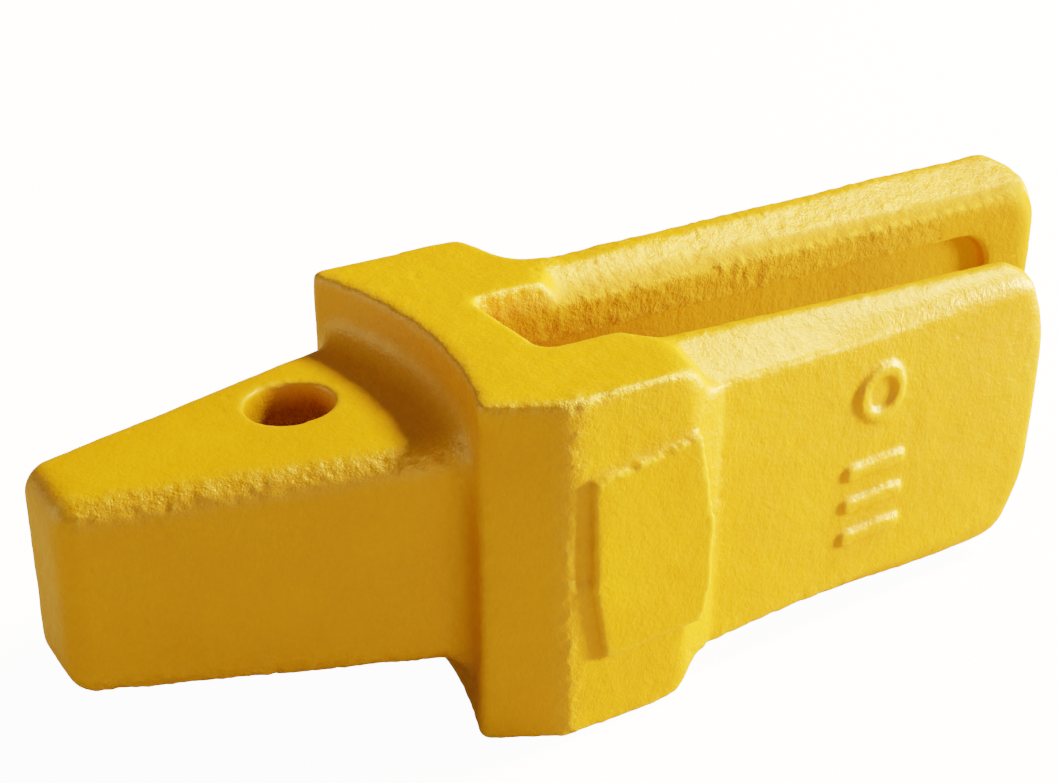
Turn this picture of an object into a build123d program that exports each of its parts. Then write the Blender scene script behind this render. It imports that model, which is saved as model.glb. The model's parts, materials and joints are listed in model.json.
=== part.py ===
from build123d import *
import os

# Weld-on two-leg adapter (tooth holder) for an excavator bucket: one steel casting,
# divided at plain planes into the members that a fitter would name.
# Frame: origin at the middle of the side-pin bore.  +X runs from the nose tip to the
# leg ends and +Z along the bore.  The bucket lip enters the slot along -X, with its
# faces normal to Y.  The short leg is on the -Y side and the long leg on the +Y side.

# ---- driving dimensions (mm) ----
BODY_WIDTH = 112.0            # across the shoulder block, along Z
LEG_WIDTH = 110.0             # across the ridges of the legs
SLOT_GAP = 42.0               # between the legs, along Y
BORE_RADIUS = 13.5
TIP_X = -78.5                 # front of the nose
SHORT_LEG_END_X = 251.0
LONG_LEG_END_X = 313.0

# nose: a wedge, steep in plan and slightly tapered in height
NOSE_ROOT_X = 25.0
NOSE_TIP_Y = (-19.0, 13.5)
NOSE_ROOT_Y = (-52.5, 34.0)
NOSE_TIP_HALF = 31.8
NOSE_ROOT_HALF = 37.0
NOSE_EDGE_RADIUS = 9.0
NOSE_ROOT_RADIUS = 9.0

# shoulder block
HALF = BODY_WIDTH / 2
SHOULDER_NEAR_Y = -78.2
SHOULDER_FAR_Y = 45.4
FLARE_START = (25.8, -66.0)   # near front corner
FLARE_END_X = 48.8
FAR_FRONT = (27.4, SHOULDER_FAR_Y)
DISH_MIDDLE = (38.0, -10.0)   # deepest point of the dished front
NEAR_REAR_X = 90.5
FAR_REAR_X = 83.5
SHOULDER_EDGE_RADIUS = 2.5
SHOULDER_CORNER_RADIUS = 3.5

# slot for the bucket lip
SLOT_NEAR_Y = -43.4
SLOT_FAR_Y = SLOT_NEAR_Y + SLOT_GAP
SLOT_ROOT_X = 61.0
SLOT_ROOT_RADIUS = 5.0

# legs: Y of the inner face, both sides of the ridge, and the outer face
LEG_START_X = 82.0
SHORT_LEG_START_Y = (SLOT_NEAR_Y, -52.0, -56.0, -73.3)
SHORT_LEG_END_Y = (SLOT_NEAR_Y, -58.0, -60.0, -64.5)
LONG_LEG_START_Y = (SLOT_FAR_Y, 8.5, 17.0, 30.0)
LONG_LEG_END_Y = (SLOT_FAR_Y, 23.5, 25.5, 33.0)
BEVEL_DEPTH = 8.5             # weld bevels inside, along Z
CHAMFER_DEPTH = 9.5           # chamfers outside, along Z
SHORT_LEG_DROP = 3.5          # how much each edge of a leg comes in by its end
LONG_LEG_DROP = 0.8
SHORT_LEG_END_RADIUS = 36.0
LONG_LEG_END_RADIUS = 15.0
SHORT_LEG_CROWN = 2.5         # how far the end bulges, along X
LONG_LEG_CROWN = 6.0
LEG_RIM_RADIUS = 4.0

# where the shoulder stops and the bevels start, as XY outlines at full height
SHORT_CHEEK = [(86.5, SLOT_NEAR_Y), (94.5, -52.4), (95.0, -60.0), (NEAR_REAR_X, SHOULDER_NEAR_Y)]
LONG_CHEEK = [(87.0, SLOT_FAR_Y), (93.5, 6.5), (101.0, 12.0), (101.0, 17.5), (94.0, 20.0), (88.0, 27.0),
              (FAR_REAR_X, SHOULDER_FAR_Y)]
RUN_OUT = 8.0                 # how far the bevels' ends slope back over their depth
RAMP_LENGTH = 14.0            # from the shoulder's sides down to the legs' outer faces

# pocket in the inner face of the long leg
POCKET_DEPTH = 5.0
POCKET_HALF_HEIGHT = 34.0
POCKET_X = (72.0, 286.0)
POCKET_CORNER_RADIUS = 14.0

# ground pad on the near side of the shoulder
PAD_PROUD = 2.5
PAD_BLOCK_DEPTH = 6.0
PAD_OUTLINE = [(54.5, 30.0), (92.0, 35.5), (98.7, 4.0), (98.0, -18.0), (95.3, -28.7), (60.5, -30.6), (55.5, -4.4)]

# generic cast mark on the short leg: a ring and three plain bars
MARK_X = 172.0
MARK_PROUD = 1.5
RING_Z = 24.0
RING_RADII = (10.0, 6.0)
BAR_SIZE = (26.0, 4.5)        # along X and Z
BAR_Z = (-2.0, -14.0, -26.0)
BAR_CORNER_RADIUS = 1.5

# planes where the casting is divided
NOSE_CUT_X = 26.0
LEG_CUT_X = SLOT_ROOT_X
REACH = 500.0                 # longer than the whole casting


def prism_z(points, half_height):
    """Solid with the given XY outline, centred on Z = 0."""
    return extrude(make_face(Polyline(*points, close=True)), half_height, both=True)


def slab(x_low, x_high):
    """Everything between two planes across X."""
    return Pos((x_low + x_high) / 2, 0, 0) * Box(x_high - x_low, REACH, REACH)


def along(start, end, share):
    return start + (end - start) * share


def make_nose():
    """Double-tapered wedge that the tooth slides over."""
    back_x = DISH_MIDDLE[0] + 5
    share = (back_x - TIP_X) / (NOSE_ROOT_X - TIP_X)
    near_y = along(NOSE_TIP_Y[0], NOSE_ROOT_Y[0], share)
    far_y = along(NOSE_TIP_Y[1], NOSE_ROOT_Y[1], share)
    half = along(NOSE_TIP_HALF, NOSE_ROOT_HALF, share)
    plan = prism_z([(TIP_X, NOSE_TIP_Y[0]), (back_x, near_y), (back_x, far_y), (TIP_X, NOSE_TIP_Y[1])], HALF)
    side_points = [(TIP_X, -NOSE_TIP_HALF), (back_x, -half), (back_x, half), (TIP_X, NOSE_TIP_HALF)]
    side = extrude(make_face(Plane.XZ * Polyline(*side_points, close=True)), REACH, both=True)
    wedge = plan & side
    return fillet([e for e in wedge.edges() if e.center().X < back_x - 1], NOSE_EDGE_RADIUS)


def make_shoulder():
    """Block behind the nose, flared on the near side, with a dished front."""
    sides = Polyline(
        FLARE_START,
        (FLARE_END_X, SHOULDER_NEAR_Y),
        *reversed(SHORT_CHEEK),
        *LONG_CHEEK,
        FAR_FRONT)
    front = ThreePointArc(FAR_FRONT, DISH_MIDDLE, FLARE_START)
    block = extrude(make_face(Curve() + [sides, front]), HALF, both=True)
    corners = [e for e in block.edges().filter_by(Axis.Z) if e.center().X < FLARE_END_X + 1]
    return fillet(corners, SHOULDER_CORNER_RADIUS)


def cheek_face(points, inner_y, z):
    """Face at height z, closed along the root of the slot."""
    corners = points + [(SLOT_ROOT_X, points[-1][1]), (SLOT_ROOT_X, inner_y)]
    return make_face(Polyline(*[(x, y, z) for x, y in corners], close=True))


def make_run_out(cheek, leg_y):
    """Slope at the front end of a leg's bevels, on both edges of the leg."""
    side_x, side_y = cheek[-1]
    inner_y = cheek[0][1]
    low_corner = (side_x + RUN_OUT, along(side_y, leg_y, RUN_OUT / RAMP_LENGTH))
    low_points = [(x + RUN_OUT, y) for x, y in cheek[:-1]] + [low_corner, cheek[-1]]
    upper = loft([cheek_face(low_points, inner_y, HALF - CHAMFER_DEPTH),
                  cheek_face(list(cheek) + [(side_x - 1, side_y)], inner_y, HALF)], ruled=True)
    return upper + mirror(upper, Plane.XY)


def leg_section(x, y, half):
    """Leg cross-section at x, with weld bevels inside and chamfers outside."""
    inner, ridge_in, ridge_out, outer = y
    bevel_z = half - BEVEL_DEPTH
    chamfer_z = half - CHAMFER_DEPTH
    points = [(inner, bevel_z), (ridge_in, half), (ridge_out, half), (outer, chamfer_z),
              (outer, -chamfer_z), (ridge_out, -half), (ridge_in, -half), (inner, -bevel_z)]
    return make_face(Polyline(*[(x, py, pz) for py, pz in points], close=True))


def end_outline(end_x, radius, crown):
    """Side view of a leg's rear end: a crowned end with two rounded corners."""
    upper, lower = (end_x - crown, HALF), (end_x - crown, -HALF)
    sides = Polyline(lower, (SLOT_ROOT_X, -HALF), (SLOT_ROOT_X, HALF), upper)
    outline = make_face(Curve() + [sides, ThreePointArc(upper, (end_x, 0), lower)])
    return fillet(outline.vertices().group_by(Axis.X)[-1], radius)


def make_leg(start_y, end_y, end_x, drop, radius, crown):
    """Tapered leg, with its rear end rounded and its rim eased."""
    half = LEG_WIDTH / 2
    leg = loft([leg_section(LEG_START_X, start_y, half), leg_section(end_x, end_y, half - drop)], ruled=True)
    leg &= extrude(Plane.XZ * end_outline(end_x, radius, crown), REACH, both=True)
    rim = [
        e for e in leg.edges()
        if e.center().X > end_x - radius and any(abs(e.center().Y - y) < 1 for y in (end_y[0], end_y[3]))
    ]
    return fillet(rim, LEG_RIM_RADIUS)


def make_ramp(rear_x, side_y, leg_y):
    """Slope from the side of the shoulder down to the outer face of a leg."""
    points = [(rear_x - RAMP_LENGTH, side_y), (rear_x, side_y), (rear_x + RAMP_LENGTH, leg_y),
              (rear_x - RAMP_LENGTH, leg_y)]
    return prism_z(points, HALF - CHAMFER_DEPTH)


def make_slot():
    """Space for the bucket lip, open at the rear and at both sides."""
    middle_y = (SLOT_NEAR_Y + SLOT_FAR_Y) / 2
    slot = Pos(SLOT_ROOT_X + REACH / 2, middle_y, 0) * Box(REACH, SLOT_GAP, REACH)
    root_corners = [e for e in slot.edges().filter_by(Axis.Z) if e.center().X < SLOT_ROOT_X + 1]
    return fillet(root_corners, SLOT_ROOT_RADIUS)


def make_pocket():
    """Shallow recess in the inner face of the long leg."""
    length = POCKET_X[1] - POCKET_X[0]
    outline = RectangleRounded(length, 2 * POCKET_HALF_HEIGHT, POCKET_CORNER_RADIUS)
    middle_x = (POCKET_X[0] + POCKET_X[1]) / 2
    return Pos(middle_x, SLOT_FAR_Y, 0) * extrude(Plane.XZ * outline, POCKET_DEPTH, both=True)


def make_casting():
    """The whole casting as one solid, before it is divided."""
    body = make_shoulder() + make_nose()
    root_edges = [
        e for e in body.edges()
        if abs(e.center().Z) < NOSE_ROOT_HALF + 2 and e.length < BODY_WIDTH - 5
        and FLARE_START[0] < e.center().X < DISH_MIDDLE[0] + 1
    ]
    body = fillet(root_edges, NOSE_ROOT_RADIUS)
    rims = [
        e for e in body.edges()
        if abs(e.center().Z) > HALF - 0.1 and FLARE_START[0] < e.center().X < FAR_REAR_X - 5
    ]
    body = fillet(rims, SHOULDER_EDGE_RADIUS)
    body += make_run_out(SHORT_CHEEK, SHORT_LEG_START_Y[3])
    body += make_run_out(LONG_CHEEK, LONG_LEG_START_Y[3])
    body += make_leg(
        SHORT_LEG_START_Y, SHORT_LEG_END_Y, SHORT_LEG_END_X,
        SHORT_LEG_DROP, SHORT_LEG_END_RADIUS, SHORT_LEG_CROWN)
    body += make_leg(
        LONG_LEG_START_Y, LONG_LEG_END_Y, LONG_LEG_END_X,
        LONG_LEG_DROP, LONG_LEG_END_RADIUS, LONG_LEG_CROWN)
    body += make_ramp(NEAR_REAR_X, SHOULDER_NEAR_Y, SHORT_LEG_START_Y[3] + 0.5)
    body += make_ramp(FAR_REAR_X, SHOULDER_FAR_Y, LONG_LEG_START_Y[3] - 0.5)
    body -= make_slot()
    body -= make_pocket()
    body -= Cylinder(BORE_RADIUS, REACH)
    return body


def make_pad(casting):
    """Flat ground pad standing a little proud of the near side."""
    proud_y = SHOULDER_NEAR_Y - PAD_PROUD
    outline = make_face(Polyline(*[(x, proud_y, z) for x, z in PAD_OUTLINE], close=True))
    block = extrude(outline, amount=PAD_BLOCK_DEPTH, dir=(0, 1, 0))
    return (block - casting).solids().sort_by(SortBy.VOLUME)[-1]


def make_mark():
    """Generic raised mark on the short leg: a ring and three plain bars."""
    start_y, end_y = SHORT_LEG_START_Y[3], SHORT_LEG_END_Y[3]
    run = SHORT_LEG_END_X - LEG_START_X
    face_y = along(start_y, end_y, (MARK_X - LEG_START_X) / run)
    outward = (end_y - start_y, -run, 0)
    face = Plane(origin=(MARK_X, face_y, 0), x_dir=(run, end_y - start_y, 0), z_dir=outward)
    shapes = [Pos(0, RING_Z) * (Circle(RING_RADII[0]) - Circle(RING_RADII[1]))]
    shapes += [Pos(0, z) * RectangleRounded(*BAR_SIZE, BAR_CORNER_RADIUS) for z in BAR_Z]
    return [extrude(face * shape, MARK_PROUD) for shape in shapes]


casting = make_casting()
short_leg, long_leg = (casting & slab(LEG_CUT_X, REACH)).solids().sort_by(Axis.Y)
parts = {
    "nose": casting & slab(-REACH, NOSE_CUT_X),
    "shoulder_block": casting & slab(NOSE_CUT_X, LEG_CUT_X),
    "short_leg": short_leg,
    "long_leg": long_leg,
    "side_pad": make_pad(casting),
    "cast_mark": Compound(children=make_mark()),
}

os.makedirs("parts", exist_ok=True)
for name, shape in parts.items():
    export_step(shape, f"parts/{name}.step")
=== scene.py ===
"""Looks of the weld-on two-leg adapter: one soft-edged yellow-painted steel casting on a pale floor."""
import json
import math

import bmesh
import bpy
import numpy as np
from mathutils import Matrix, Vector
from mathutils.kdtree import KDTree


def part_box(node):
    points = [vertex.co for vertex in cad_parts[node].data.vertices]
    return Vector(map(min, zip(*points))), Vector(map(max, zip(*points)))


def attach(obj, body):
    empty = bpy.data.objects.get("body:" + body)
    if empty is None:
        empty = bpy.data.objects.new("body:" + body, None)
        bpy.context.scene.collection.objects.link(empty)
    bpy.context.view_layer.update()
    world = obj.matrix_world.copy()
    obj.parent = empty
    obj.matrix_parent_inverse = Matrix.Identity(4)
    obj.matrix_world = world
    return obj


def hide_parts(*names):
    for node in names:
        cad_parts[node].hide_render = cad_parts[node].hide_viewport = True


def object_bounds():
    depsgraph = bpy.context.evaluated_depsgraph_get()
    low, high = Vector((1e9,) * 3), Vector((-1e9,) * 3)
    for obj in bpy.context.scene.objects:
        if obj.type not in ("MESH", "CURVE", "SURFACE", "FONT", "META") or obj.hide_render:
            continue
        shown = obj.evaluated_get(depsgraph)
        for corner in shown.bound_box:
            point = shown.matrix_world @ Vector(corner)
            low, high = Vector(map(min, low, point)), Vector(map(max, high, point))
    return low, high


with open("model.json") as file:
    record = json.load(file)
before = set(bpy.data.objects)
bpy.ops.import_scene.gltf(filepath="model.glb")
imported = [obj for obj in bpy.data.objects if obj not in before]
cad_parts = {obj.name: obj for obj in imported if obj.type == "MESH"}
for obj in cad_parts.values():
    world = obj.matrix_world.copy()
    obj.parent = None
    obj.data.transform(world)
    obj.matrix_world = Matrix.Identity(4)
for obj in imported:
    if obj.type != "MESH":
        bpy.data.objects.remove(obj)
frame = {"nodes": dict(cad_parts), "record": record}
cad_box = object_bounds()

MM = 0.001
NODES = ("nose", "shoulder_block", "short_leg", "long_leg", "side_pad", "cast_mark")
VOXEL = 0.85 * MM             # detail of the rebuilt surface
SOFT_ROUNDS = 9               # rounds of smoothing for every edge
BLEND_ROUNDS = 40             # for the run from the shoulder into the legs
END_ROUNDS = 45               # for the rear ends of the legs
END_SWELL = 0.7               # mm put back on the ends of the legs after their smoothing
# height, size in mm and random seed of each layer of unevenness
WAVES = ((0.22, 26, 1), (0.12, 9, 2), (0.05, 2.4, 5))
SAND_LUMPS = ((0.40, 3.8, 3), (0.34, 2.0, 4))
BEAD_LUMPS = ((0.75, 3.2, 21), (0.45, 1.7, 22))
BEAD_LEVEL = 0.55
PIT_COUNT = 60
PIT_SEED = 6
PIT_RADIUS = (1.0, 1.9)       # mm
PIT_DEPTH = (0.12, 0.35)
NOTCH_DEPTH = 0.9
NOTCH_WIDTH = 5.5
PIECE_TRIANGLES = 194_000     # what the finished mesh is thinned to
PAINT_TINTS = ((0.76, 0.262, 0.0010), (0.80, 0.288, 0.0013), (0.84, 0.312, 0.0018))
# painted shade: brown that darkens creases, the slot and the bore
PAINTED_SHADE_TINT = (0.36, 0.135, 0.0003)
# painted highlight: paler yellow on proud crests
PAINTED_HIGHLIGHT_TINT = (0.88, 0.42, 0.03)
SHEEN_TINT = (1, 0.88, 0.45)
PAINT_ROUGHNESS = (0.33, 0.44)
RECESS_ROUGHNESS = 0.9
PAINT_SHEEN = (0.40, 1.0)     # specular level on smooth and on coarse skin
GRAIN_HEIGHT = 0.55 * MM


# ---- camera ----
CAMERA_AT = (-0.18402, -0.42488, 0.26363)
CAMERA_AZIMUTH = -32.218      # degrees, 0 looks along +Y
CAMERA_ELEVATION = 26.07
CAMERA_ROLL = 0.441
CAMERA_LENS = 58.87           # mm
CAMERA_SENSOR = 36            # mm wide


def make_camera():
    """Camera at the photograph's viewing angle."""
    azimuth, elevation, roll = (math.radians(a) for a in (CAMERA_AZIMUTH, CAMERA_ELEVATION, CAMERA_ROLL))
    back = Vector((math.sin(azimuth) * math.cos(elevation), -math.cos(azimuth) * math.cos(elevation),
                   math.sin(elevation)))
    level = Vector((math.cos(azimuth), math.sin(azimuth), 0))
    upright = back.cross(level)
    right = level * math.cos(roll) + upright * math.sin(roll)
    up = upright * math.cos(roll) - level * math.sin(roll)
    data = bpy.data.cameras.new("camera")
    data.lens = CAMERA_LENS
    data.sensor_width = CAMERA_SENSOR
    data.clip_start = 0.01
    camera = bpy.data.objects.new("camera", data)
    turn = Matrix((right, up, back)).transposed()
    camera.matrix_world = Matrix.Translation(CAMERA_AT) @ turn.to_4x4()
    bpy.context.scene.collection.objects.link(camera)
    bpy.context.scene.camera = camera


# ---- noise and distances ----
TABLE = 61                    # random values along each side of the noise lattice


def lattice_noise(points, cell, seed):
    """Smooth noise between -1 and 1, with features about one cell wide."""
    table = np.random.default_rng(seed).uniform(-1, 1, (TABLE, TABLE, TABLE))
    scaled = points / cell
    corner = np.floor(scaled).astype(int)
    share = scaled - corner
    share = share * share * (3 - 2 * share)
    total = np.zeros(len(points))
    for dx in (0, 1):
        for dy in (0, 1):
            for dz in (0, 1):
                step = np.array((dx, dy, dz))
                weight = np.where(step, share, 1 - share).prod(axis=1)
                i = (corner + step) % TABLE
                total += weight * table[i[:, 0], i[:, 1], i[:, 2]]
    return total


def layered_noise(points, layers):
    return sum(height * lattice_noise(points, size, seed) for height, size, seed in layers)


def smooth_step(value, low, high):
    """0 up to the low value, 1 from the high value, and a soft rise between them."""
    share = np.clip((value - low) / (high - low), 0, 1)
    return share * share * (3 - 2 * share)


def near_path(points, path, width):
    """1 on a path through the given corners, falling to 0 at the given distance from it."""
    best = np.full(len(points), np.inf)
    for a, b in zip(path[:-1], path[1:]):
        a, b = np.array(a), np.array(b)
        run = b - a
        share = np.clip((points - a) @ run / (run @ run), 0, 1)
        best = np.minimum(best, np.linalg.norm(points - a - share[:, None] * run, axis=1))
    return 1 - smooth_step(best, 0, width)


# ---- casting ----
def joined_nodes():
    """One mesh holding a copy of every CAD node."""
    build = bmesh.new()
    for name in NODES:
        build.from_mesh(frame["nodes"][name].data)
    mesh = bpy.data.meshes.new("adapter_casting")
    build.to_mesh(mesh)
    build.free()
    mesh.materials.clear()
    return mesh


def apply_modifier(piece, kind, **settings):
    """Adds one modifier to the piece and turns its result into the piece's mesh."""
    modifier = piece.modifiers.new(kind.lower(), kind)
    for key, value in settings.items():
        setattr(modifier, key, value)
    graph = bpy.context.evaluated_depsgraph_get()
    done = bpy.data.meshes.new_from_object(piece.evaluated_get(graph), depsgraph=graph)
    piece.modifiers.clear()
    old = piece.data
    piece.data = done
    bpy.data.meshes.remove(old)


def read_points(mesh):
    flat = np.empty(len(mesh.vertices) * 3)
    mesh.vertices.foreach_get("co", flat)
    return flat.reshape(-1, 3)


def write_points(mesh, points):
    mesh.vertices.foreach_set("co", points.ravel())
    mesh.update()


def read_normals(mesh):
    flat = np.empty(len(mesh.vertices) * 3)
    mesh.vertex_normals.foreach_get("vector", flat)
    return flat.reshape(-1, 3)


def read_edges(mesh):
    flat = np.empty(len(mesh.edges) * 2, dtype=int)
    mesh.edges.foreach_get("vertices", flat)
    return flat.reshape(-1, 2)


def relax(points, edges, strength, rounds):
    """Moves each point towards the mean of its neighbours, which rounds off the edges."""
    ends = np.concatenate((edges[:, 0], edges[:, 1]))
    others = np.concatenate((edges[:, 1], edges[:, 0]))
    count = np.bincount(ends, minlength=len(points))[:, None]
    for _ in range(rounds):
        total = np.stack([np.bincount(ends, points[others, k], len(points)) for k in range(3)], axis=1)
        points = points + strength[:, None] * 0.5 * (total / count - points)
    return points


# ---- places on the part, in mm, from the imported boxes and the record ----
def corners_mm(node):
    return [np.array(c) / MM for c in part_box(node)]


BLOCK_LOW, BLOCK_HIGH = corners_mm("shoulder_block")
PAD_LOW, PAD_HIGH = corners_mm("side_pad")
MARK_LOW, MARK_HIGH = corners_mm("cast_mark")
SHORT_END_X = corners_mm("short_leg")[1][0]
LONG_HIGH = corners_mm("long_leg")[1]
SLOT_LOW, SLOT_HIGH = (np.array(c) / MM for c in frame["record"]["physics"]["openings"][0]["box_m"])
NEAR_Y, FAR_Y, TOP_Z = BLOCK_LOW[1], BLOCK_HIGH[1], BLOCK_HIGH[2]
ROOT_X = BLOCK_HIGH[0]
WALL_Y = SLOT_HIGH[1]         # the long leg's wall in the slot
BORE_RADIUS = frame["record"]["mounts"][0]["dims"]["r_mm"]
SLOT_PAINTED_SHADE = 0.62           # how strong the painted shade on the slot's walls is, where the bore is 1
BEND_X = 48.8                 # where the flare meets the near side
FLARE_START = (26, -66, TOP_Z)
BLEND_X = (78, 94, 110)       # start, middle and end of the soft run from shoulder to legs
CHAMFER_FILL = 2.4            # how far the short leg's chamfer swells towards its end
CHAMFER_FILL_X = (135, 215)   # where the swelling starts and is full
LONG_END_RUN = 38.0           # length of the rounded rear end of each leg
SHORT_END_RUN = 88.0
END_BULGE = 8.0               # how far the long leg's end bulges in plan view
END_BULGE_RUN = (40, 6)       # where that starts and is full, ahead of the end
END_CORNER = 23.0             # radius of the long leg's rear corners, seen from the side
END_CROWN = 4.0               # how far the end's middle stands behind its corners
END_EDGE = 9.0                # radius between the long leg's end and its slot wall

# paths along the edges, where the cast skin changes
NOSE_EDGE = [(-70, -21.5, 30.5), (27, -53, 36)]
FLARE_BEND = [(BEND_X, NEAR_Y, -TOP_Z), (BEND_X, NEAR_Y, TOP_Z)]
FLARE_TOP = [FLARE_START, (BEND_X, NEAR_Y, TOP_Z)]
SIDE_TOP = [(BEND_X, NEAR_Y, TOP_Z), (88, NEAR_Y, TOP_Z)]
DISH_TOP = [(29, FAR_Y, TOP_Z), (36.5, 20, TOP_Z), (38, -10, TOP_Z), (35, -40, TOP_Z), FLARE_START]
PAD_CORNER = (92, PAD_LOW[1], 35.5)
PAD_TOP = [(54.5, PAD_LOW[1], 30), PAD_CORNER]
PAD_SIDE = [PAD_CORNER, (98.7, PAD_LOW[1], 4), (98, PAD_LOW[1], -18), (95.3, PAD_LOW[1], -28.7)]
PAD_FLASH = [(103, -76, 30), (105, -75, 10), (104, -75, -6)]
LOW_EDGE = [(96, -75, -46), (170, -69, -46)]
SLOT_RIM = [(ROOT_X + 2, WALL_Y, TOP_Z), (88, WALL_Y, TOP_Z), (94, 6, TOP_Z)]
BEVEL_FOOT = [(96, WALL_Y, 46.5), (300, WALL_Y, 45)]
CHAMFER_LINE = [(100, -64.6, 50.2), (247, -62.2, 46.7)]
NOTCH = [(53.6, NEAR_Y, -1), (53.2, NEAR_Y, 27)]
# path, coarseness and width of each ragged edge
RAGGED = ((FLARE_BEND, 0.5, 8), (PAD_FLASH, 0.6, 6), (LOW_EDGE, 0.5, 8), (BEVEL_FOOT, 0.4, 4))
RAGGED_BOTH_SIDES = ((NOSE_EDGE, 0.95, 9), (FLARE_TOP, 0.5, 4.5), (SIDE_TOP, 0.5, 4.5), (DISH_TOP, 0.5, 4.5))
# path, height and width of each lumpy bead
BEADS = (
    (PAD_TOP, 0.95, 2.6), (SIDE_TOP, 0.55, 3.0), (PAD_SIDE, 0.4, 1.8),
    (SLOT_RIM, 0.35, 2.2), (FLARE_TOP, 0.35, 2.5), (PAD_FLASH, 0.5, 3.0),
)


def inside(p, low, high, margin):
    """1 inside a box, falling to 0 at the given distance outside it."""
    reach = np.maximum(np.maximum(low - p, p - high), 0)
    return 1 - smooth_step(np.linalg.norm(reach, axis=1), 0, margin)


def softness(p):
    """How strongly each point is smoothed: most where the shoulder runs out into the legs."""
    start, middle, end = BLEND_X
    along = smooth_step(p[:, 0], start, middle) * (1 - smooth_step(p[:, 0], middle, end))
    off_pad = 1 - inside(p, PAD_LOW, PAD_HIGH, 9)
    in_slot = inside(p, SLOT_LOW, SLOT_HIGH, 3)
    high = smooth_step(np.abs(p[:, 2]), 36, 46)
    outer = smooth_step(p[:, 1], 14, 24) + smooth_step(-p[:, 1], 62, 70)
    return along * off_pad * (1 - in_slot) * np.clip(high + outer, 0, 1)


def recess_of(p):
    """How deep each point sits in the bore (1) or between the legs, which sets how much painted shade the
    paint gets there.
    """
    low, high = SLOT_LOW - (8, 0, 0), SLOT_HIGH + (80, 6, 0)
    height = np.abs(p[:, 2])
    slot = inside(p, low, high, 1.5) * (1 - smooth_step(height, 44, 54))
    radius = np.hypot(p[:, 0], p[:, 1])
    bore = (1 - smooth_step(radius, BORE_RADIUS, BORE_RADIUS + 1.2)) * (1 - smooth_step(height, 26, 35))
    return np.maximum(SLOT_PAINTED_SHADE * slot, bore)


def on_long_side(p):
    """True on the long leg's side of the slot."""
    return p[:, 1] > WALL_Y - 10


def end_softness(p):
    """How strongly each point is smoothed at the rounded rear ends of the legs, clear of the mark."""
    on_long_leg = on_long_side(p)
    ends = np.where(on_long_leg, LONG_HIGH[0], SHORT_END_X)
    run = np.where(on_long_leg, LONG_END_RUN, SHORT_END_RUN)
    return smooth_step(p[:, 0], ends - run, ends - 4) * (1 - inside(p, MARK_LOW, MARK_HIGH, 9))


def round_long_end(p):
    """Rounds the two rear corners of the long leg, and the edge its end makes with its slot wall."""
    out = p.copy()
    top = LONG_HIGH[2]
    end = LONG_HIGH[0] - END_CROWN * (p[:, 2] / top) ** 2
    past_x = p[:, 0] - (end - END_CORNER)
    past_z = np.abs(p[:, 2]) - (top - END_CORNER)
    reach_x, reach_z = np.maximum(past_x, 0), np.maximum(past_z, 0)
    reach = np.hypot(reach_x, reach_z) + 1e-6
    depth = END_CORNER - reach - np.minimum(np.maximum(past_x, past_z), 0)
    push = np.minimum(depth, 0) / reach
    out[:, 0] += push * reach_x
    out[:, 2] += push * reach_z * np.sign(p[:, 2])
    left = np.clip(END_EDGE - np.maximum(depth, 0), 0, END_EDGE)
    wall = WALL_Y + END_EDGE - np.sqrt(END_EDGE ** 2 - left ** 2)
    near_end = (past_x > END_CORNER - END_EDGE) | ((past_x > 0) & (past_z > 0))
    out[:, 1] = np.where(near_end, np.maximum(out[:, 1], wall), out[:, 1])
    touched = on_long_side(p) & (past_x > 0)
    return np.where(touched[:, None], out, p)


def bulge_long_end(p):
    """How far each point of the long leg's end moves back, in mm, so that the end bulges in plan view."""
    middle = (WALL_Y + LONG_HIGH[1]) / 2
    half = (LONG_HIGH[1] - WALL_Y) / 2
    crown = np.clip(1 - ((p[:, 1] - middle) / half) ** 2, 0, 1) * (p[:, 1] > WALL_Y - 2)
    start, full = END_BULGE_RUN
    return END_BULGE * crown * smooth_step(p[:, 0], LONG_HIGH[0] - start, LONG_HIGH[0] - full)


def crispness(p):
    """1 where edges stay sharper: the pad, apart from its top edge, and the raised mark."""
    pad = inside(p, PAD_LOW, PAD_HIGH, 2) * (1 - 0.9 * near_path(p, PAD_TOP, 5))
    return np.maximum(pad, inside(p, MARK_LOW, MARK_HIGH, 2))


def both_sides(path):
    """A path on the upper side, and its mirror image below."""
    return [path, [(x, y, -z) for x, y, z in path]]


def roughness_of(p, normals):
    """How coarse the sand-cast skin is: near 0 on the smooth pad, about 1 along the ragged edges."""
    slot_wall = inside(p, SLOT_LOW, SLOT_HIGH, 2.5) * smooth_step(np.abs(normals[:, 1]), 0.5, 0.8)
    bevel = smooth_step(p[:, 0], 92, 100) * smooth_step(np.abs(p[:, 2]), 44, 48)
    bevel *= 0.16 + 0.20 * smooth_step(p[:, 1], -30, 0)
    rough = 0.12 + 0.45 * slot_wall + bevel
    for path, coarse, width in RAGGED:
        rough += coarse * near_path(p, path, width)
    for path, coarse, width in RAGGED_BOTH_SIDES:
        for side in both_sides(path):
            rough += coarse * near_path(p, side, width)
    rim = np.array((2, 0, 2))
    pad_face = inside(p, PAD_LOW + rim, PAD_HIGH - rim, 2) * smooth_step(-p[:, 1], 78.6, 79.6)
    return np.clip(rough * (1 - 0.9 * pad_face), 0, 1)


def add_beads(p):
    """Lumpy ridges left along edges, in mm outward."""
    lumps = np.maximum(BEAD_LEVEL + layered_noise(p, BEAD_LUMPS), 0)
    rise = np.zeros(len(p))
    for path, height, width in BEADS:
        rise += height * near_path(p, path, width)
    return rise * lumps


def fill_chamfer(p):
    """Turns the short leg's chamfer into a rounded corner towards its end, in mm outward."""
    fill = np.zeros(len(p))
    for path in both_sides(CHAMFER_LINE):
        fill = np.maximum(fill, near_path(p, path, 9))
    return CHAMFER_FILL * fill * smooth_step(p[:, 0], *CHAMFER_FILL_X)


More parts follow.
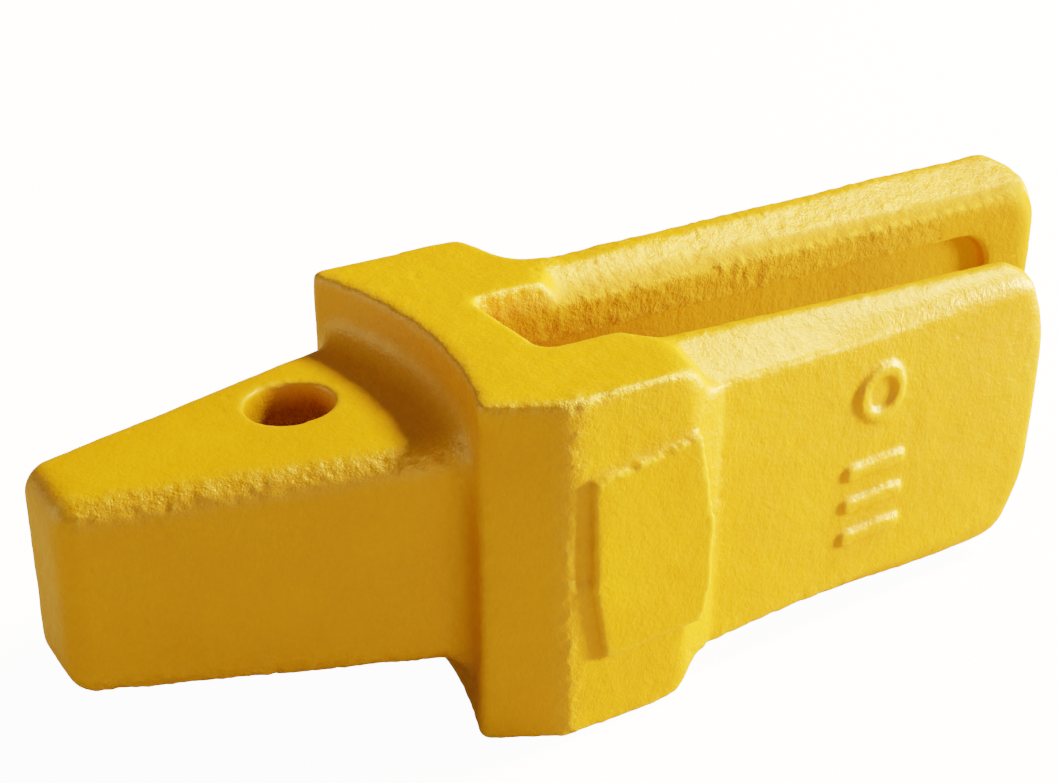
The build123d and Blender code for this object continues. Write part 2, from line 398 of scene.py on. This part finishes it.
def add_pits(p):
    """Small craters scattered over the skin, in mm outward."""
    rng = np.random.default_rng(PIT_SEED)
    tree = KDTree(len(p))
    for i, point in enumerate(p):
        tree.insert(point, i)
    tree.balance()
    depth = np.zeros(len(p))
    for centre in rng.choice(len(p), PIT_COUNT, replace=False):
        radius = rng.uniform(*PIT_RADIUS)
        sink = rng.uniform(*PIT_DEPTH)
        for _, i, distance in tree.find_range(p[centre], radius):
            depth[i] = min(depth[i], -sink * (1 - (distance / radius) ** 2))
    return depth * (1 - inside(p, PAD_LOW, PAD_HIGH, 2))


def notch_depth(p):
    """Recess beside the pad, which fades out at both ends, in mm outward."""
    along = smooth_step(p[:, 2], -8, -2) * (1 - smooth_step(p[:, 2], 10, 31))
    return -NOTCH_DEPTH * near_path(p, NOTCH, NOTCH_WIDTH) * along


def soften(mesh):
    """Rounds the edges, blends the shoulder into the legs and rounds the ends of the legs."""
    edges = read_edges(mesh)
    p = read_points(mesh) / MM
    p = relax(p, edges, 1 - 0.65 * crispness(p), SOFT_ROUNDS)
    p = relax(p, edges, softness(p), BLEND_ROUNDS)
    along_x = bulge_long_end(p)
    p = round_long_end(p)
    p[:, 0] += along_x
    write_points(mesh, p * MM)
    p += read_normals(mesh) * fill_chamfer(p)[:, None]
    p = relax(p, edges, end_softness(p), END_ROUNDS)
    write_points(mesh, p * MM)
    return p


def make_casting():
    """The whole casting as one closed surface, with soft edges and a sand-cast skin."""
    piece = bpy.data.objects.new("adapter_casting", joined_nodes())
    bpy.context.scene.collection.objects.link(piece)
    apply_modifier(piece, "REMESH", mode="VOXEL", voxel_size=VOXEL, adaptivity=0)
    mesh = piece.data
    p = soften(mesh)
    normals = read_normals(mesh)
    rough = roughness_of(p, normals)
    out = layered_noise(p, WAVES) + rough * layered_noise(p, SAND_LUMPS) + END_SWELL * end_softness(p)
    out += add_beads(p) + add_pits(p) + notch_depth(p)
    write_points(mesh, (p + normals * out[:, None]) * MM)
    ratio = PIECE_TRIANGLES / (2 * len(mesh.polygons))
    apply_modifier(piece, "DECIMATE", ratio=min(1, ratio), use_collapse_triangulate=True)
    piece.data.shade_smooth()
    paint_masks(piece.data)
    return piece


def paint_masks(mesh):
    """Stores how coarse each point is, how proud of its surroundings, and how deep it sits in the slot or
    bore, the depth that drives painted shade.
    """
    p = read_points(mesh) / MM
    normals = read_normals(mesh)
    edges = read_edges(mesh)
    level = relax(p, edges, np.ones(len(p)), 6)
    proud = ((p - level) * normals).sum(axis=1)
    for name, values in (("coarse", roughness_of(p, normals)), ("proud", proud), ("recess_shade", recess_of(p))):
        layer = mesh.attributes.new(name, "FLOAT", "POINT")
        layer.data.foreach_set("value", values.astype(np.float32))


# ---- material ----
def add_node(tree, kind, inputs=(), **settings):
    """A shader node whose inputs are given as values or as the sockets that feed them."""
    node = tree.nodes.new("ShaderNode" + kind)
    for key, value in settings.items():
        setattr(node, key, value)
    for key, value in dict(inputs).items():
        if isinstance(value, bpy.types.NodeSocket):
            tree.links.new(value, node.inputs[key])
        else:
            node.inputs[key].default_value = value
    return node


def add_math(tree, operation, a, b):
    return add_node(tree, "Math", {0: a, 1: b}, operation=operation).outputs[0]


def add_range(tree, value, from_low, from_high, to_low=0.0, to_high=1.0):
    """The value, carried evenly from one range to another and held at its ends."""
    ends = {"From Min": from_low, "From Max": from_high, "To Min": to_low, "To Max": to_high}
    return add_node(tree, "MapRange", {"Value": value, **ends}).outputs[0]


def add_ramp(tree, value, low, high, colours):
    """Colour that runs evenly through the given colours as the value goes from low to high."""
    ramp = add_node(tree, "ValToRGB", {"Fac": add_range(tree, value, low, high)})
    stops = ramp.color_ramp.elements
    while len(stops) < len(colours):
        stops.new(0.5)
    for i, colour in enumerate(colours):
        stops[i].position = i / (len(colours) - 1)
        stops[i].color = (*colour, 1)
    return ramp.outputs["Color"]


def add_mask(tree, name):
    """A value stored on the mesh by paint_masks."""
    return add_node(tree, "Attribute", attribute_name=name).outputs["Fac"]


def add_noise(tree, place, size, detail, rough=0.55):
    """Noise with features of about the given size in mm, around 0.5."""
    return add_node(tree, "TexNoise", {"Vector": place, "Scale": 1 / (size * MM), "Detail": detail,
                                       "Roughness": rough}).outputs["Fac"]


def add_sum(tree, a, b, share):
    """The first value plus a share of the second."""
    return add_math(tree, "ADD", a, add_math(tree, "MULTIPLY", b, share))


def paint_colour(tree, place, recess_shade):
    """Mottled yellow, with painted shade browning hollows, the slot and the bore, and a painted highlight
    paling proud crests.
    """
    proud = add_mask(tree, "proud")
    speck = add_noise(tree, place, 1.4, 3)
    mixed = add_sum(tree, add_math(tree, "MULTIPLY", add_noise(tree, place, 30, 3), 0.65), speck, 0.35)
    body = add_ramp(tree, mixed, 0.32, 0.68, PAINT_TINTS)
    # painted shade in concave creases and in the slot and bore
    painted_shade = add_math(tree, "MAXIMUM", add_range(tree, proud, -0.03, -0.40, 0, 0.25), recess_shade)
    shaded = add_node(tree, "Mix", {0: painted_shade, 6: body, 7: (*PAINTED_SHADE_TINT, 1)}, data_type="RGBA").outputs[2]
    # painted highlight on proud crests, broken up by the speck noise
    crest_highlight = add_range(tree, proud, 0.06, 0.40)
    crest_highlight = add_math(tree, "MULTIPLY", crest_highlight, add_math(tree, "MULTIPLY", speck, 1.1))
    return add_node(tree, "Mix", {0: crest_highlight, 6: shaded, 7: (*PAINTED_HIGHLIGHT_TINT, 1)}, data_type="RGBA").outputs[2]


def sand_grain(tree, place, coarse):
    """Normal of the sand-cast skin: dents, grain and fine grain, stronger where the skin is coarse."""
    height = add_sum(tree, add_noise(tree, place, 1.3, 4, 0.6), add_noise(tree, place, 0.55, 2), 0.35)
    height = add_sum(tree, height, add_noise(tree, place, 3.6, 2, 0.45), 1.1)
    strength = add_range(tree, coarse, 0, 1, 0.36, 1)
    bump = {"Height": height, "Strength": strength, "Distance": GRAIN_HEIGHT}
    return add_node(tree, "Bump", bump).outputs["Normal"]


def make_paint():
    """Yellow satin paint over a sand-cast skin, with painted shade in the slot and the bore: browner, rougher
    and with weaker specular there.
    """
    material = bpy.data.materials.new("yellow_paint")
    material.use_nodes = True
    tree = material.node_tree
    shader = tree.nodes["Principled BSDF"]
    place = add_node(tree, "TexCoord").outputs["Object"]
    coarse, recess_shade = add_mask(tree, "coarse"), add_mask(tree, "recess_shade")
    gloss = add_range(tree, add_noise(tree, place, 5, 4), 0.3, 0.7, *PAINT_ROUGHNESS)
    dull = {0: recess_shade, 2: gloss, 3: RECESS_ROUGHNESS}
    sheen = add_range(tree, coarse, 0, 1, *PAINT_SHEEN)
    # painted shade: specular cut towards a tenth deep in the slot and bore
    shade = add_range(tree, recess_shade, 0, 0.6, 1, 0.1)
    shader.inputs["Specular Tint"].default_value = (*SHEEN_TINT, 1)
    tree.links.new(paint_colour(tree, place, recess_shade), shader.inputs["Base Color"])
    tree.links.new(add_node(tree, "Mix", dull, data_type="FLOAT").outputs[0], shader.inputs["Roughness"])
    tree.links.new(add_math(tree, "MULTIPLY", sheen, shade), shader.inputs["Specular IOR Level"])
    tree.links.new(sand_grain(tree, place, coarse), shader.inputs["Normal"])
    return material


# ---- surroundings ----
FLOOR_SIZE = 8.0
FLOOR_GAP = 0.6 * MM          # clear of the cast skin's highest grains
FLOOR_TINT = (0.38, 0.31, 0.13)
FLOOR_ROUGHNESS = 0.9
WHITE = (1, 1, 1, 1)
FLOOR_GLOW = 10.0             # seen by the camera only, so the floor reads as pale without lighting the part
AMBIENT = 0.06
AMBIENT_TINT = (1.0, 0.80, 0.35)
LAMP_TINT = (1.0, 0.88, 0.42)
# direction from the part, distance, width (m) and strength of each soft lamp
LAMPS = {
    "right": ((0.95, -0.32, 0.06), 5.0, 1.4, 92),
    "top": ((0.72, -0.06, 0.69), 2.6, 0.55, 54),
    "front": ((-0.12, -0.97, 0.15), 3.0, 1.2, 5),
    "back_left": ((-0.85, 0.5, 0.2), 2.4, 1.0, 5),
}
TONE_WHITE = 12.0             # scene brightness that shows as white
TONE_STEPS = (0.01, 0.03, 0.06, 0.1, 0.16, 0.25, 0.37, 0.52, 0.7, 0.85)


def make_floor():
    """Plain pale floor that the part lies on."""
    build = bmesh.new()
    bmesh.ops.create_grid(build, x_segments=1, y_segments=1, size=FLOOR_SIZE / 2)
    mesh = bpy.data.meshes.new("floor")
    build.to_mesh(mesh)
    build.free()
    floor = bpy.data.objects.new("floor", mesh)
    floor.location.z = cad_box[0].z - FLOOR_GAP
    bpy.context.scene.collection.objects.link(floor)
    material = bpy.data.materials.new("floor")
    material.use_nodes = True
    tree = material.node_tree
    shader = tree.nodes["Principled BSDF"]
    shader.inputs["Base Color"].default_value = (*FLOOR_TINT, 1)
    shader.inputs["Roughness"].default_value = FLOOR_ROUGHNESS
    seen = add_node(tree, "LightPath").outputs["Is Camera Ray"]
    tree.links.new(add_math(tree, "MULTIPLY", seen, FLOOR_GLOW), shader.inputs["Emission Strength"])
    shader.inputs["Emission Color"].default_value = WHITE
    floor.data.materials.append(material)


def make_lamp(name, direction, distance, size, power, target):
    """Round soft lamp facing the target, as bright on it at any distance."""
    data = bpy.data.lights.new(name, "AREA")
    data.shape = "DISK"
    data.size = size
    data.color = LAMP_TINT
    data.energy = power * distance * distance
    lamp = bpy.data.objects.new(name, data)
    away = Vector(direction).normalized()
    lamp.location = Vector(target) + away * distance
    lamp.rotation_mode = "QUATERNION"
    lamp.rotation_quaternion = away.to_track_quat("Z", "Y")
    bpy.context.scene.collection.objects.link(lamp)


def make_lights():
    """Soft studio light, mostly from the right and above."""
    middle = (cad_box[0] + cad_box[1]) / 2
    for name, (direction, distance, size, power) in LAMPS.items():
        make_lamp(name, direction, distance, size, power, middle)
    world = bpy.data.worlds.new("studio")
    world.use_nodes = True
    tree = world.node_tree
    seen = add_node(tree, "LightPath").outputs["Is Camera Ray"]
    around = tree.nodes["Background"]
    around.inputs["Color"].default_value = (*AMBIENT_TINT, 1)
    around.inputs["Strength"].default_value = AMBIENT
    behind = add_node(tree, "Background", {"Color": WHITE, "Strength": TONE_WHITE})
    both = add_node(tree, "MixShader", {0: seen, 1: around.outputs[0], 2: behind.outputs[0]})
    tree.links.new(both.outputs[0], tree.nodes["World Output"].inputs["Surface"])
    bpy.context.scene.world = world


def set_tone():
    """Film-like response: each colour's brightness rolls off towards white by the extended Reinhard curve."""
    view = bpy.context.scene.view_settings
    view.view_transform = "Standard"
    view.use_curve_mapping = True
    mapping = view.curve_mapping
    mapping.white_level = (TONE_WHITE,) * 3
    mapping.use_clip = True
    curve = mapping.curves[3]
    for step in TONE_STEPS:
        x = step * TONE_WHITE
        curve.points.new(step, x * (1 + x / TONE_WHITE ** 2) / (1 + x))
    mapping.update()


make_camera()
casting = make_casting()
casting.data.materials.append(make_paint())
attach(casting, "root")
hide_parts(*NODES)
make_floor()
make_lights()
set_tone()
